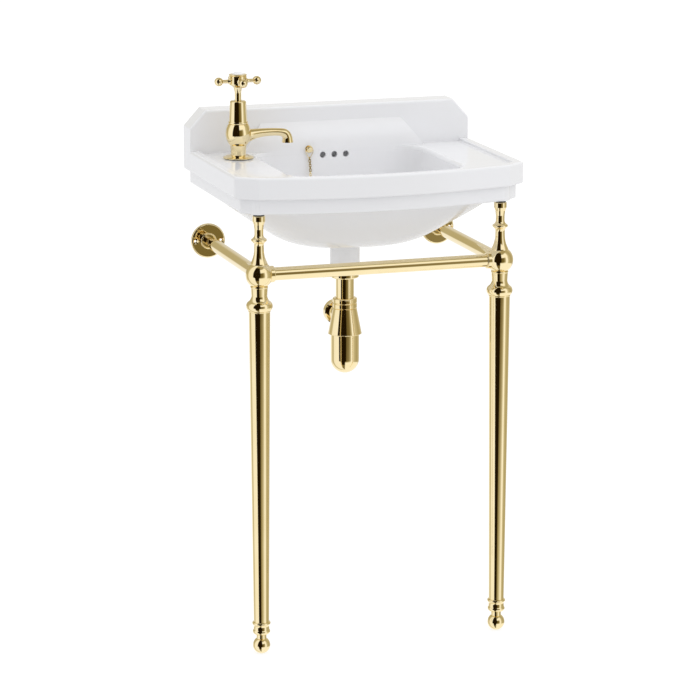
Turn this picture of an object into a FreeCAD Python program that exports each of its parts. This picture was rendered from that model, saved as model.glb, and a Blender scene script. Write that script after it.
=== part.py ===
import FreeCAD
import Part
import math
import os

# Console basin with a brass washstand. Millimetres, +Z up, +X to the user's right, the wall on the +Y side.
# The origin is on the floor, under the middle of the basin's plan.

# Basin rim and upstand
BASIN_WIDTH = 510.0
BASIN_DEPTH = 380.0          # wall to the middle of the bowed front
FRONT_BOW = 32.0             # how far the front's middle stands out past its ends
CORNER_CUT_X = 34.0
CORNER_CUT_Y = 27.0
UPPER_BAND = 37.5
LOWER_BAND = 26.0
BAND_STEP = 11.0             # the lower band lies this far inside the upper one
RIM_RADIUS = 4.0
BORDER_RADIUS = 2.4          # inner edge and foot of the raised border
CORNER_RADIUS = 5.0          # upright edges of both bands
BAND_RADIUS = 4.0            # lower edge of the lower band
RIM_BORDER = 17.0
DECK_DROP = 5.0              # deck below the raised border
UPSTAND_HEIGHT = 70.0        # above the rim
UPSTAND_THICKNESS = 44.0
UPSTAND_CUT_X = 28.0
UPSTAND_CUT_Z = 31.0
SLOPE_HEIGHT = 43.0          # the curved middle of the upstand, above the rim
SLOPE_NARROWING = 24.0       # its sides draw in by this much on the way up
GLAZE_WALL = 11.0            # ware thickness
BACK_PLATE = 14.0            # ware against the wall
REAR_OPENING = 90.0          # hand holes in the underside, below the wall bolts

# Bowl
BOWL_SIDE = 103.0            # basin's side to the mouth's side edge
BOWL_BACK = 64.0             # wall to the mouth's back edge
BOWL_FRONT = 338.0           # wall to the mouth's front edge
BOWL_BOW = 22.0
BOWL_CORNER = 40.0
MOUTH_ROLL = 7.0             # radius of the mouth's rolled edge
FLOOR_BEHIND_WASTE = 22.0    # waste's middle to the floor's back edge
FLOOR_BEFORE_WASTE = 45.0
BOWL_DEPTH = 145.0           # rim to the bowl's floor
WASTE_SEAT_DEPTH = 3.0       # recess in the floor for the waste's flange
UNDERSIDE_SIDE = 19.0        # basin's side to the underside's edge
UNDERSIDE_BACK = 27.0
UNDERSIDE_BOW = 12.0
UNDERSIDE_CORNER = 90.0
UNDERSIDE_FLOOR_HALF = 57.0
UNDERSIDE_FLOOR_FRONT = 75.0
WASTE_FROM_WALL = 123.0
WASTE_HOLE_RADIUS = 22.0
BOSS_RADIUS = 26.0
BOSS_LENGTH = 51.5           # below the bowl's floor
OVERFLOW_RADIUS = 5.5
OVERFLOW_PITCH = 21.1
OVERFLOW_DROP = 14.5         # below the rim
OVERFLOW_RIB_WALL = 7.0
OVERFLOW_RIB_DEPTH = 23.0
SLOPE_BACK = 22.0            # wall to the back of the sloped piece
WALL_BOLT_SPACING = 240.0
WALL_BOLT_RADIUS = 5.0       # holes in the back plate
WALL_BOLT_DROP = 44.0
TAP_ACCESS = 10.0            # round the tap's hole, in the underside

# Tap
TAP_BESIDE_BOWL = 36.0       # bowl's side edge to the tap's axis
TAP_FROM_WALL = 112.0
TAP_HOLE_RADIUS = 14.0
TAP_REACH = 88.0
TAP_SEAL = 1.5
TAP_FLANGE_RADIUS = 26.3
TAP_FLANGE_HEIGHT = 4.5
TAP_WAIST_RADIUS = 13.0
TAP_BELLY_RADIUS = 22.2
TAP_BODY_HEIGHT = 53.8       # above its flange
SPOUT_RADIUS = 6.8
SPOUT_RISE = 36.0            # flange to the spout's straight stretch
SPOUT_BEND = 13.0
SPOUT_DROP = 5.0             # flared outlet below the bend
OUTLET_RADIUS = 10.2
OUTLET_FLARE = 1.0
OUTLET_DEPTH = 8.0
BONNET_RING_RADIUS = 17.1
BONNET_RING = 4.5            # height
BONNET_SPIGOT = 10.0         # inside the body
BONNET_SPIGOT_RADIUS = 10.0
BONNET_RADIUS = 15.6
BONNET_TOP_RADIUS = 14.0
BONNET_HEIGHT = 40.4
STEM_SHOWN = 23.0
HUB_RADIUS = 15.0
HUB_HEIGHT = 20.5
HUB_PIN_RADIUS = 4.0
HANDLE_REACH = 33.7          # axis to the centre of a ball
HANDLE_BALL_RADIUS = 7.5
HANDLE_ARM_RADIUS = 3.2
HANDLE_CAP_RADIUS = 15.5
HANDLE_CAP_HEIGHT = 2.2
INDEX_RADIUS = 10.2          # glazed button in the cap
INDEX_HEIGHT = 5.8
INDEX_SEAT = 1.0             # above the cap's foot
STEM_RADIUS = 5.6
STEM_FLARE_RADIUS = 8.2
STEM_FLARE = 11.0            # height, under the hub
TAIL_RADIUS = 10.4
TAIL_LENGTH = 58.0
TAIL_END_RADIUS = 9.2        # for the connector
TAIL_END = 26.0
TAIL_BORE_RADIUS = 6.5
TAP_NUT_FLATS = 32.0
TAP_NUT_HEIGHT = 9.0

# Chain, plug and waste
STAY_X = -47.0
STAY_DROP = 2.9              # stay's centre below the rim
STAY_HEAD_RADIUS = 5.5
STAY_NECK_RADIUS = 2.5
STAY_NECK_LENGTH = 5.5
STAY_PLATE = 1.5
STAY_HEAD = 2.5              # thickness
STAY_NUT = 4.0               # thickness
CHAIN_RING_RADIUS = 6.8      # round top of the pear-shaped ring, to the wire's middle
CHAIN_RING_DROP = 19.2       # top to tip of the ring, between the wire's middles
CHAIN_RING_WIRE = 0.9
CHAIN_RING_TIP_RADIUS = 1.9
LINK_LENGTH = 6.4
LINK_WIDTH = 4.4
LINK_WIRE = 1.05
LINK_PITCH = 4.0
LINK_PLAY = 0.3              # between a link's end and the ring or eye that it holds
EYE_RADIUS = 3.5             # plug's eye, to the wire's middle
EYE_WIRE = 0.9
PLUG_RADIUS = 18.6
PLUG_DEPTH = 9.0
PLUG_DOME = 5.0
PLUG_CAP_RADIUS = 10.5
PLUG_CAP_HEIGHT = 2.0
WASTE_FLANGE_RADIUS = 31.0
WASTE_LENGTH = 68.5          # under the flange
WASTE_BAR = 2.6              # cross in the waste's mouth
WASTE_GRID_RING = 1.4
WASTE_SLOT_WIDTH = 10.0      # overflow slots in its side
WASTE_SLOT_HEIGHT = 20.0
WASTE_SLOT_RISE = 18.0       # above the boss's end
WASTE_TAIL_RADIUS = 20.6
WASTE_BORE_RADIUS = 17.4
PIPE_RADIUS = 16.0
PIPE_WALL = 1.5
PIPE_COLLAR_RADIUS = 20.0
WASHER_THICKNESS = 3.0
WASTE_NUT_FLATS = 50.0
WASTE_NUT_HEIGHT = 9.0
UNION_RADIUS = 24.5
UNION_HEIGHT = 14.0
UNION_LIP = 3.0

# Bottle trap
PIPE_SHOWN = 36.0            # union nut to inlet nut
INLET_NUT_HEIGHT = 18.0
INLET_LIP = 5.2
INLET_NUT_RADIUS = 21.4
BELL_TOP_RADIUS = 21.0
BELL_RADIUS = 29.6
BELL_HEIGHT = 46.2
BELL_NECK_RADIUS = 18.5
BELL_WALL = 4.0
DIP_RADIUS = 13.5
DIP_BELOW_BELL = 39.0
DIP_COLLAR_RADIUS = 15.0
DIP_COLLAR = 2.0             # thickness
CUP_RADIUS = 25.0
CUP_HEIGHT = 70.5            # below the bell
CUP_SOCKET = 13.0            # cup inside the bell
CUP_WALL = 2.5
CUP_WASHER = 1.7
OUTLET_DROP = 17.6           # bell's shoulder to the outlet's axis
BRANCH_RADIUS = 17.0
BRANCH_REACH = 50.0          # trap axis to the branch's end
OUTLET_NUT_RADIUS = 22.0
OUTLET_NUT_LENGTH = 15.0
OUTLET_NUT_LIP = 4.0
OUTLET_SEAL = 5.0
OUTLET_BORE_RADIUS = 16.1

# Stand
LEG_INSET = 41.5             # basin's side to the leg's axis
LEG_FROM_WALL = 322.0
FOOT_BALL_RADIUS = 14.9
FOOT_FLAT = 0.6              # cut off the ball where it stands
FOOT_STEM_RADIUS = 8.5
FOOT_STEM_LENGTH = 18.0      # inside the ferrule
FOOT_GAP = 5.0               # neck shown between the foot and the ferrule
FERRULE_HEIGHT = 22.0
FERRULE_RADIUS = 15.7
FERRULE_SPIGOT = 12.0        # inside the leg tube
LEG_TUBE_LENGTH = 543.0
LEG_FOOT_RADIUS = 13.1
LEG_TOP_RADIUS = 18.1
LEG_WALL = 1.5
COLLAR_HEIGHT = 13.0
COLLAR_RADIUS = 22.4
COLLAR_SPIGOT = 20.0         # into the leg tube
NECK_HEIGHT = 23.5           # collar to the ball
NECK_RADIUS = 13.4
BALL_RADIUS = 23.0
POST_HEIGHT = 100.0          # ball centre to the post's top
POST_RADIUS = 7.5
POST_RING_RADIUS = 13.2
POST_CAP_RADIUS = 10.8
PAD_RADIUS = 9.3
PAD_THICKNESS = 3.5
STUD_RADIUS = 4.5
STUD_LENGTH = 14.0
RAIL_RADIUS = 11.1
RAIL_WALL = 1.5
SOCKET_RADIUS = 14.0
SOCKET_REACH = 25.0          # ball centre to the socket's mouth
SOCKET_DEPTH = 7.0
RAIL_WALL_GAP = 50.0         # wall to the side rail's end
WALL_FLANGE_RADIUS = 30.5
WALL_FLANGE_THICKNESS = 5.0
WALL_FLANGE_RING_RADIUS = 14.2
SPIGOT_RADIUS = 7.4
SPIGOT_DEPTH = 24.0          # inside the side rail
RAIL_BUSH = 20.0             # length of the bush in its end
WALL_FLANGE_RING_HEIGHT = 4.0
SCREW_SPACING = 46.6
SCREW_HOLE_RADIUS = 2.3
SCREW_HEAD_RADIUS = 4.6
FIT = 0.15                   # radial clearance of a fixed fit
GAP = 0.3                    # between moving pieces

# Heights, from the floor up
FERRULE_BASE = 2 * FOOT_BALL_RADIUS - FOOT_FLAT + FOOT_GAP
TUBE_BASE = FERRULE_BASE + FERRULE_HEIGHT
COLLAR_BASE = TUBE_BASE + LEG_TUBE_LENGTH
BALL_HEIGHT = COLLAR_BASE + COLLAR_HEIGHT + NECK_HEIGHT + BALL_RADIUS
POST_TOP = BALL_HEIGHT + POST_HEIGHT
UNDERSIDE = POST_TOP + PAD_THICKNESS
BAND_LINE = UNDERSIDE + LOWER_BAND
RIM = BAND_LINE + UPPER_BAND
DECK = RIM - DECK_DROP
BOWL_FLOOR = RIM - BOWL_DEPTH
BOSS_END = BOWL_FLOOR - BOSS_LENGTH
WASTE_SEAT = BOWL_FLOOR - WASTE_SEAT_DEPTH
WASTE_END = WASTE_SEAT - WASTE_LENGTH
UNION_TOP = BOSS_END - WASHER_THICKNESS - WASTE_NUT_HEIGHT
UNION_BASE = UNION_TOP - UNION_HEIGHT
INLET_NUT_TOP = UNION_BASE - PIPE_SHOWN
BELL_SHOULDER = INLET_NUT_TOP - INLET_NUT_HEIGHT
BELL_BASE = BELL_SHOULDER - BELL_HEIGHT
TAP_BASE = DECK + TAP_SEAL
TAP_BODY_BASE = TAP_BASE + TAP_FLANGE_HEIGHT
TAP_BODY_TOP = TAP_BODY_BASE + TAP_BODY_HEIGHT
BONNET_TOP = TAP_BODY_TOP + BONNET_HEIGHT
HUB_BASE = BONNET_TOP + STEM_SHOWN
HUB_TOP = HUB_BASE + HUB_HEIGHT
STAY_HEIGHT = RIM - STAY_DROP

# Places in plan
WALL = BASIN_DEPTH / 2
LEG_Y = WALL - LEG_FROM_WALL
WASTE_Y = WALL - WASTE_FROM_WALL
TAP_Y = WALL - TAP_FROM_WALL
UPSTAND_FACE = WALL - UPSTAND_THICKNESS
BOWL_BACK_Y = WALL - BOWL_BACK
BOWL_HALF_WIDTH = BASIN_WIDTH / 2 - BOWL_SIDE
TAP_X = -BOWL_HALF_WIDTH - TAP_BESIDE_BOWL
LEG_SPACING = BASIN_WIDTH - 2 * LEG_INSET
SIDES = {"left": -1, "right": 1}


def vec(x, y, z):
    return FreeCAD.Vector(x, y, z)


def line(a, b):
    return Part.makeLine(a, b)


def arc(a, middle, b):
    return Part.Arc(a, middle, b).toShape()


def profile(points):
    """Closed face in the XZ plane. A point of two numbers ends a line, one of four an arc, by its middle."""
    edges = []
    here = vec(points[0][0], 0, points[0][1])
    for point in points[1:] + points[:1]:
        there = vec(point[-2], 0, point[-1])
        if len(point) == 4:
            edges.append(arc(here, vec(point[0], 0, point[1]), there))
        else:
            edges.append(line(here, there))
        here = there
    return Part.Face(Part.Wire(edges))


def turned(points, x=0.0, y=0.0, z=0.0):
    """Solid turned about a vertical axis at x, y, with its profile's heights counted from z."""
    solid = profile(points).revolve(vec(0, 0, 0), vec(0, 0, 1), 360)
    return moved(solid, x, y, z)


def moved(shape, x=0.0, y=0.0, z=0.0):
    copy = shape.copy()
    copy.translate(vec(x, y, z))
    return copy


def facing_y(shape, x, y, z):
    """A solid made about the Z axis, laid along +Y, with its base at x, y, z."""
    copy = shape.copy()
    copy.rotate(vec(0, 0, 0), vec(1, 0, 0), -90)
    return moved(copy, x, y, z)


def facing_x(shape, x, y, z, way=1):
    """A solid made about the Z axis, laid along +X or, with way -1, along -X."""
    copy = shape.copy()
    copy.rotate(vec(0, 0, 0), vec(0, 1, 0), 90 * way)
    return moved(copy, x, y, z)


def rod(radius, low, high, x=0.0, y=0.0):
    return Part.makeCylinder(radius, high - low, vec(x, y, low))


def ring(radius, bore, low, high, x=0.0, y=0.0):
    return rod(radius, low, high, x, y).cut(rod(bore, low - 1, high + 1, x, y))


def block(low, high):
    size = high.sub(low)
    return Part.makeBox(size.x, size.y, size.z, low)


def rounded(shape, radius, wanted):
    """Fillet on the edges whose bounding boxes are wanted."""
    return shape.makeFillet(radius, [edge for edge in shape.Edges if wanted(edge.BoundBox)])


def hexagon(across_flats, low, high, x, y):
    corner = across_flats / math.sqrt(3)
    turns = [math.radians(60 * i) for i in range(7)]
    points = [vec(x + corner * math.cos(turn), y + corner * math.sin(turn), low) for turn in turns]
    return Part.Face(Part.makePolygon(points)).extrude(vec(0, 0, high - low))


def mirrored_points(points):
    return [vec(-p.x, p.y, p.z) for p in points]


def prism(wire, height):
    return Part.Face(wire).extrude(vec(0, 0, height))


# Basin


def rim_outline(inset, z, back=WALL):
    """Plan of the rim moved in by inset: straight back and sides, cut front corners, bowed front."""
    half = BASIN_WIDTH / 2
    front = WALL - BASIN_DEPTH
    bow_half = half - CORNER_CUT_X
    bow_radius = (bow_half**2 + FRONT_BOW**2) / (2 * FRONT_BOW)
    bow_centre = front + bow_radius
    cut = math.hypot(CORNER_CUT_X, CORNER_CUT_Y)
    along_x, along_y = -CORNER_CUT_X / cut, -CORNER_CUT_Y / cut
    start_x = half + inset * along_y
    start_y = front + FRONT_BOW + CORNER_CUT_Y - inset * along_x
    to_side = (half - inset - start_x) / along_x
    side_end = vec(half - inset, start_y + to_side * along_y, z)
    toward = start_x * along_x + (start_y - bow_centre) * along_y
    reach = start_x**2 + (start_y - bow_centre) ** 2 - (bow_radius - inset) ** 2
    to_front = -toward - math.sqrt(toward**2 - reach)
    if to_front < 0:
        to_front = -toward + math.sqrt(toward**2 - reach)
    front_end = vec(start_x + to_front * along_x, start_y + to_front * along_y, z)
    right = [vec(half - inset, back, z), side_end, front_end]
    left = mirrored_points(right)
    middle = vec(0, front + inset, z)
    return Part.Wire([
        line(left[0], right[0]),
        line(right[0], right[1]),
        line(right[1], right[2]),
        arc(right[2], middle, left[2]),
        line(left[2], left[1]),
        line(left[1], left[0]),
    ])


def bowl_outline(half, back, front, bow, back_radius, front_radius, z):
    """Rounded plan of the bowl at one height, with a bowed front. Back and front count from the wall."""
    bow_radius = (half**2 + bow**2) / (2 * bow)
    bow_centre = WALL - front + bow_radius
    corner_x = half - front_radius
    corner_y = bow_centre - math.sqrt((bow_radius - front_radius) ** 2 - corner_x**2)
    reach = math.hypot(corner_x, corner_y - bow_centre)
    toward_x, toward_y = corner_x / reach, (corner_y - bow_centre) / reach
    half_turn = math.atan2(toward_y, toward_x) / 2
    slant = math.cos(math.radians(45))
    right = [
        vec(half - back_radius, WALL - back, z),
        vec(half, WALL - back - back_radius, z),
        vec(half, corner_y, z),
        vec(corner_x + toward_x * front_radius, corner_y + toward_y * front_radius, z),
    ]
    middles = [
        vec(half - back_radius * (1 - slant), WALL - back - back_radius * (1 - slant), z),
        vec(corner_x + front_radius * math.cos(half_turn), corner_y + front_radius * math.sin(half_turn), z),
    ]
    left = mirrored_points(right)
    left_middles = mirrored_points(middles)
    return Part.Wire([
        line(left[0], right[0]),
        arc(right[0], middles[0], right[1]),
        line(right[1], right[2]),
        arc(right[2], middles[1], right[3]),
        arc(right[3], vec(0, WALL - front, z), left[3]),
        arc(left[3], left_middles[1], left[2]),
        line(left[2], left[1]),
        arc(left[1], left_middles[0], left[0]),
    ])


# Each section's depth, and how far its sides and its front have drawn in: 0 at the mouth, 1 at the floor
BOWL_CURVE = [
    (-0.03, 0.0, 0.0),
    (0.1, 0.01, 0.03),
    (0.38, 0.05, 0.15),
    (0.62, 0.18, 0.31),
    (0.82, 0.41, 0.52),
    (0.95, 0.72, 0.74),
    (1.0, 1.0, 1.0),
]
UNDERSIDE_CURVE = [
    (0.0, 0.0, 0.0),
    (0.18, 0.11, 0.11),
    (0.4, 0.26, 0.26),
    (0.61, 0.42, 0.42),
    (0.8, 0.58, 0.58),
    (0.91, 0.73, 0.73),
    (1.0, 1.0, 1.0),
]
ROUNDNESS = 0.85             # how round a section is at the floor, 1 being a full half circle


def between(start, end, share):
    return start + (end - start) * share


def bowl_solid(mouth, floor, curve, mouth_z, floor_z, corner, grow=0.0):
    """Bowl from mouth to floor, each given as half width, back, front and bow, and grown out all round."""
    sections = []
    for depth, narrowing, front_narrowing in curve:
        half, back, bow = [between(mouth[i], floor[i], narrowing) for i in (0, 1, 3)]
        front = between(mouth[2], floor[2], front_narrowing)
        radius = between(corner, ROUNDNESS * min(half, (front - back) / 2), narrowing) + grow
        z = between(mouth_z, floor_z, depth) - grow
        sections.append(bowl_outline(half + grow, back - grow, front + grow, bow, radius, radius, z))
    return Part.makeLoft(sections, True, False)


def bowl_inside(grow=0.0):
    mouth = (BOWL_HALF_WIDTH, BOWL_BACK, BOWL_FRONT, BOWL_BOW)
    floor_back, floor_front = WASTE_FROM_WALL - FLOOR_BEHIND_WASTE, WASTE_FROM_WALL + FLOOR_BEFORE_WASTE
    floor = (2 * WASTE_HOLE_RADIUS, floor_back, floor_front, 3.0)
    return bowl_solid(mouth, floor, BOWL_CURVE, RIM, BOWL_FLOOR, BOWL_CORNER, grow)


def bowl_underside(grow=0.0):
    mouth = (BASIN_WIDTH / 2 - UNDERSIDE_SIDE, UNDERSIDE_BACK, LEG_FROM_WALL + 1, UNDERSIDE_BOW)
    floor_back, floor_front = WASTE_FROM_WALL - GLAZE_WALL, WASTE_FROM_WALL + UNDERSIDE_FLOOR_FRONT
    floor, floor_z = (UNDERSIDE_FLOOR_HALF, floor_back, floor_front, 4.0), BOWL_FLOOR - GLAZE_WALL
    return bowl_solid(mouth, floor, UNDERSIDE_CURVE, UNDERSIDE, floor_z, UNDERSIDE_CORNER, grow)


def mouth_roll():
    """What is cut away to roll the deck into the bowl along its sides and its front."""
    sections = []
    for turn in (0, 25, 50, 70, 85):
        grow = MOUTH_ROLL * (1 - math.cos(math.radians(turn)))
        z = DECK - MOUTH_ROLL * (1 - math.sin(math.radians(turn)))
        half, front, corner = BOWL_HALF_WIDTH + grow, BOWL_FRONT + grow, BOWL_CORNER + grow
        sections.append(bowl_outline(half, BOWL_BACK, front, BOWL_BOW, corner, corner, z))
    top = MOUTH_ROLL + 1
    half, front, corner = BOWL_HALF_WIDTH + top, BOWL_FRONT + top, BOWL_CORNER + top
    sections.append(bowl_outline(half, BOWL_BACK, front, BOWL_BOW, corner, corner, DECK + 1))
    return Part.makeLoft(sections, True, False)


def upstand(inset, back_inset):
    """Splashback with cut corners; with insets, the hollow inside it."""
    half = BASIN_WIDTH / 2 - inset
    top = RIM + UPSTAND_HEIGHT - inset
    corner = inset * math.tan(math.atan2(UPSTAND_CUT_Z, UPSTAND_CUT_X) / 2)
    back = WALL - back_inset
    right = [
        vec(half, back, DECK - inset),
        vec(half, back, top - UPSTAND_CUT_Z + corner),
        vec(half - UPSTAND_CUT_X + corner, back, top),
    ]
    outline = Part.makePolygon(right + mirrored_points(right)[::-1] + right[:1])
    return Part.Face(outline).extrude(vec(0, inset + back_inset - UPSTAND_THICKNESS, 0))


def upstand_slope():
    """The middle of the upstand curves down, upright where it runs on as the bowl's back."""
    low, high = DECK - GLAZE_WALL, RIM + SLOPE_HEIGHT
    back, front = WALL - SLOPE_BACK, BOWL_BACK_Y
    half = BOWL_HALF_WIDTH + BOWL_CORNER / 3
    out, up = UPSTAND_FACE - front, high - DECK
    radius = (out**2 + up**2) / (2 * out)
    turn = math.asin(up / radius) / 2
    middle = vec(-half, front + radius * (1 - math.cos(turn)), DECK + radius * math.sin(turn))
    places = ((UPSTAND_FACE, high), (back, high), (back, low), (front, low), (front, DECK))
    corners = [vec(-half, y, z) for y, z in places]
    edges = [line(a, b) for a, b in zip(corners, corners[1:])]
    side = Part.Wire(edges + [arc(corners[-1], middle, corners[0])])
    across = Part.Face(side).extrude(vec(2 * half, 0, 0))
    half_high = BOWL_HALF_WIDTH - SLOPE_NARROWING
    return across.common(narrowing_block(half, half_high, low, DECK, high, front, back))


def narrowing_block(half_low, half_high, low, bend, high, front, back):
    """Block with upright sides up to the bend, and straight slanting ones above it."""
    right = [vec(half_low, front, low), vec(half_low, front, bend), vec(half_high, front, high)]
    outline = Part.makePolygon(right + mirrored_points(right)[::-1] + right[:1])
    return Part.Face(outline).extrude(vec(0, back - front, 0))


def overflow_rib(inset):
    """Rib behind the bowl from the overflow holes down to the boss, or with inset the channel inside it."""
    half = OVERFLOW_PITCH + OVERFLOW_RADIUS + OVERFLOW_RIB_WALL + 2 - inset
    half_foot = 0.57 * BOSS_RADIUS - inset
    top = RIM - OVERFLOW_DROP + OVERFLOW_RADIUS + 1
    back = BOWL_BACK - OVERFLOW_RIB_DEPTH + inset
    bend = BOWL_FLOOR + BOSS_LENGTH - GLAZE_WALL
    foot_back = WASTE_FROM_WALL - 0.8 * BOSS_RADIUS + inset
    foot = BOWL_FLOOR - BOSS_RADIUS - GLAZE_WALL + inset
    bend_front = BOWL_BACK if inset == 0 else BOWL_BACK - OVERFLOW_RIB_WALL
    foot_top = BOWL_FLOOR + GLAZE_WALL - 2 if inset == 0 else BOWL_FLOOR - GLAZE_WALL - WASTE_SEAT_DEPTH
    points = [
        vec(-half, WALL - back, top),
        vec(-half, WALL - back, bend),
        vec(-half, WALL - foot_back, foot),
        vec(-half, WASTE_Y, foot),
        vec(-half, WASTE_Y, foot_top),
        vec(-half, WASTE_Y + 0.91 * BOSS_RADIUS, foot_top),
        vec(-half, WALL - bend_front, bend + 6),
        vec(-half, WALL - bend_front, top),
    ]
    rib = Part.Face(Part.makePolygon(points + points[:1])).extrude(vec(2 * half, 0, 0))
    return rib.common(narrowing_block(half_foot, half, foot - 1, foot, top, WASTE_Y, WALL))


def rim_edges(shape):
    """Outer edges to round: the rim's top and bottom, and the upstand's front."""
    kept = []
    for edge in shape.Edges:
        box = edge.BoundBox
        level = box.ZLength < 0.01 and (abs(box.ZMin - RIM) < 0.01 or abs(box.ZMin - BAND_LINE) < 0.01)
        on_face = abs(box.YMin - UPSTAND_FACE) < 0.01 and abs(box.YMax - UPSTAND_FACE) < 0.01
        at_wall = box.YMin > WALL - 0.01
        if level and not on_face and not at_wall:
            kept.append(edge)
        elif on_face and box.ZMin > RIM + UPSTAND_HEIGHT - UPSTAND_CUT_Z - 0.01:
            kept.append(edge)
    return kept


def band(inset, low, height):
    """One band of the rim with its upright edges rounded."""
    return rounded(
        prism(rim_outline(inset, low), height),
        CORNER_RADIUS,
        lambda box: box.ZLength > height / 2 and box.YMax < WALL - 1,
    )


def deck_recess():
    """What is cut away inside the raised border, with a round foot."""
    space = prism(rim_outline(RIM_BORDER, DECK, UPSTAND_FACE), 2 * DECK_DROP)
    return rounded(
        space, BORDER_RADIUS, lambda box: box.ZMax < DECK + 0.01 and box.YMin < UPSTAND_FACE - 0.01
    )


def on_border(box):
    """True for the inner edges of the raised border's top."""
    side, front = BASIN_WIDTH / 2 - RIM_BORDER + 0.01, WALL - BASIN_DEPTH + RIM_BORDER - 0.01
    level = abs(box.ZMin - RIM) < 0.01 and box.ZLength < 0.01
    within = box.XMax < side and box.XMin > -side and front < box.YMin < UPSTAND_FACE - 0.01
    return level and within and box.DiagonalLength > CORNER_RADIUS


def basin():
    rim = band(0, BAND_LINE, UPPER_BAND).fuse(upstand(0, 0)).removeSplitter()
    rim = rim.makeFillet(RIM_RADIUS, rim_edges(rim)).cut(deck_recess())
    rim = rounded(rim, BORDER_RADIUS, on_border)
    lower = rounded(
        band(BAND_STEP, UNDERSIDE, LOWER_BAND),
        BAND_RADIUS,
        lambda box: box.ZMax < UNDERSIDE + 0.01 and box.YMin < WALL - 1,
    )
    ware = rim.fuse([lower, bowl_underside()]).cut(basin_hollow())
    boss = rod(BOSS_RADIUS, BOSS_END, BOWL_FLOOR, 0, WASTE_Y)
    ware = ware.fuse([boss, upstand_slope(), overflow_rib(0)])
    ware = ware.fuse([
        rod(STUD_RADIUS + GLAZE_WALL, UNDERSIDE, DECK - DECK_DROP, side * LEG_SPACING / 2, LEG_Y)
        for side in SIDES.values()
    ])
    return ware.cut([bowl_inside(), mouth_roll(), overflow_rib(OVERFLOW_RIB_WALL)] + basin_holes()).Solids[0]


def basin_hollow():
    """The ware is double: an outer shell and the bowl, with air between them."""
    outline = rim_outline(BAND_STEP + GLAZE_WALL, UNDERSIDE + GLAZE_WALL, WALL - BACK_PLATE)
    space = prism(outline, DECK - UNDERSIDE - 2 * GLAZE_WALL)
    space = space.fuse([bowl_underside(-GLAZE_WALL), upstand(GLAZE_WALL, BACK_PLATE)])
    return space.cut(bowl_inside(GLAZE_WALL))


def basin_holes():
    low = UNDERSIDE - BOWL_DEPTH / 2
    holes = [
        rod(WASTE_FLANGE_RADIUS + FIT, WASTE_SEAT, BOWL_FLOOR + 3 * WASTE_SEAT_DEPTH, 0, WASTE_Y),
        rod(WASTE_HOLE_RADIUS, BOSS_END - 1, BOWL_FLOOR, 0, WASTE_Y),
        rod(TAP_HOLE_RADIUS, DECK - 2 * GLAZE_WALL, DECK + 1, TAP_X, TAP_Y),
        rod(TAP_HOLE_RADIUS + TAP_ACCESS, low, UNDERSIDE + 2 * GLAZE_WALL, TAP_X, TAP_Y),
    ]
    stay_hole = rod(STAY_NECK_RADIUS + FIT, 0, BOWL_BACK - BACK_PLATE)
    stay_seat = rod(STAY_HEAD_RADIUS + 1 + FIT, 0, STAY_PLATE)
    holes.append(facing_y(stay_hole, STAY_X, BOWL_BACK_Y - 1, STAY_HEIGHT))
    holes.append(facing_y(stay_seat, STAY_X, BOWL_BACK_Y - STAY_PLATE, STAY_HEIGHT))
    for i in (-1, 0, 1):
        hole = rod(OVERFLOW_RADIUS, 0, 3 * GLAZE_WALL)
        holes.append(facing_y(hole, i * OVERFLOW_PITCH, BOWL_BACK_Y - 2 * GLAZE_WALL, RIM - OVERFLOW_DROP))
    for side in SIDES.values():
        stud_top = UNDERSIDE + STUD_LENGTH + 1
        holes.append(rod(STUD_RADIUS + 2 * GAP, UNDERSIDE - 1, stud_top, side * LEG_SPACING / 2, LEG_Y))
        bolt, middle = rod(WALL_BOLT_RADIUS, 0, 2 * BACK_PLATE), side * WALL_BOLT_SPACING / 2
        holes.append(facing_y(bolt, middle, WALL - 1.5 * BACK_PLATE, RIM - WALL_BOLT_DROP))
        reach = block(
            vec(middle - REAR_OPENING / 2, UPSTAND_FACE, low),
            vec(middle + REAR_OPENING / 2, WALL - BACK_PLATE, UNDERSIDE + GLAZE_WALL + 1),
        )
        holes.append(reach)
    return holes


# Tap


def tap_seal():
    return ring(TAP_FLANGE_RADIUS - 4, TAIL_RADIUS + FIT, DECK, TAP_BASE, TAP_X, TAP_Y)


def tap_flange():
    bore, rim, top = TAIL_RADIUS + FIT, TAP_FLANGE_RADIUS, TAP_FLANGE_HEIGHT
    points = [
        (bore, 0),
        (rim, 0),
        (rim, 0.3 * top),
        (0.78 * rim, 0.82 * top, TAP_WAIST_RADIUS + 0.5, top),
        (bore, top),
    ]
    return turned(points, TAP_X, TAP_Y, TAP_BASE)


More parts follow.
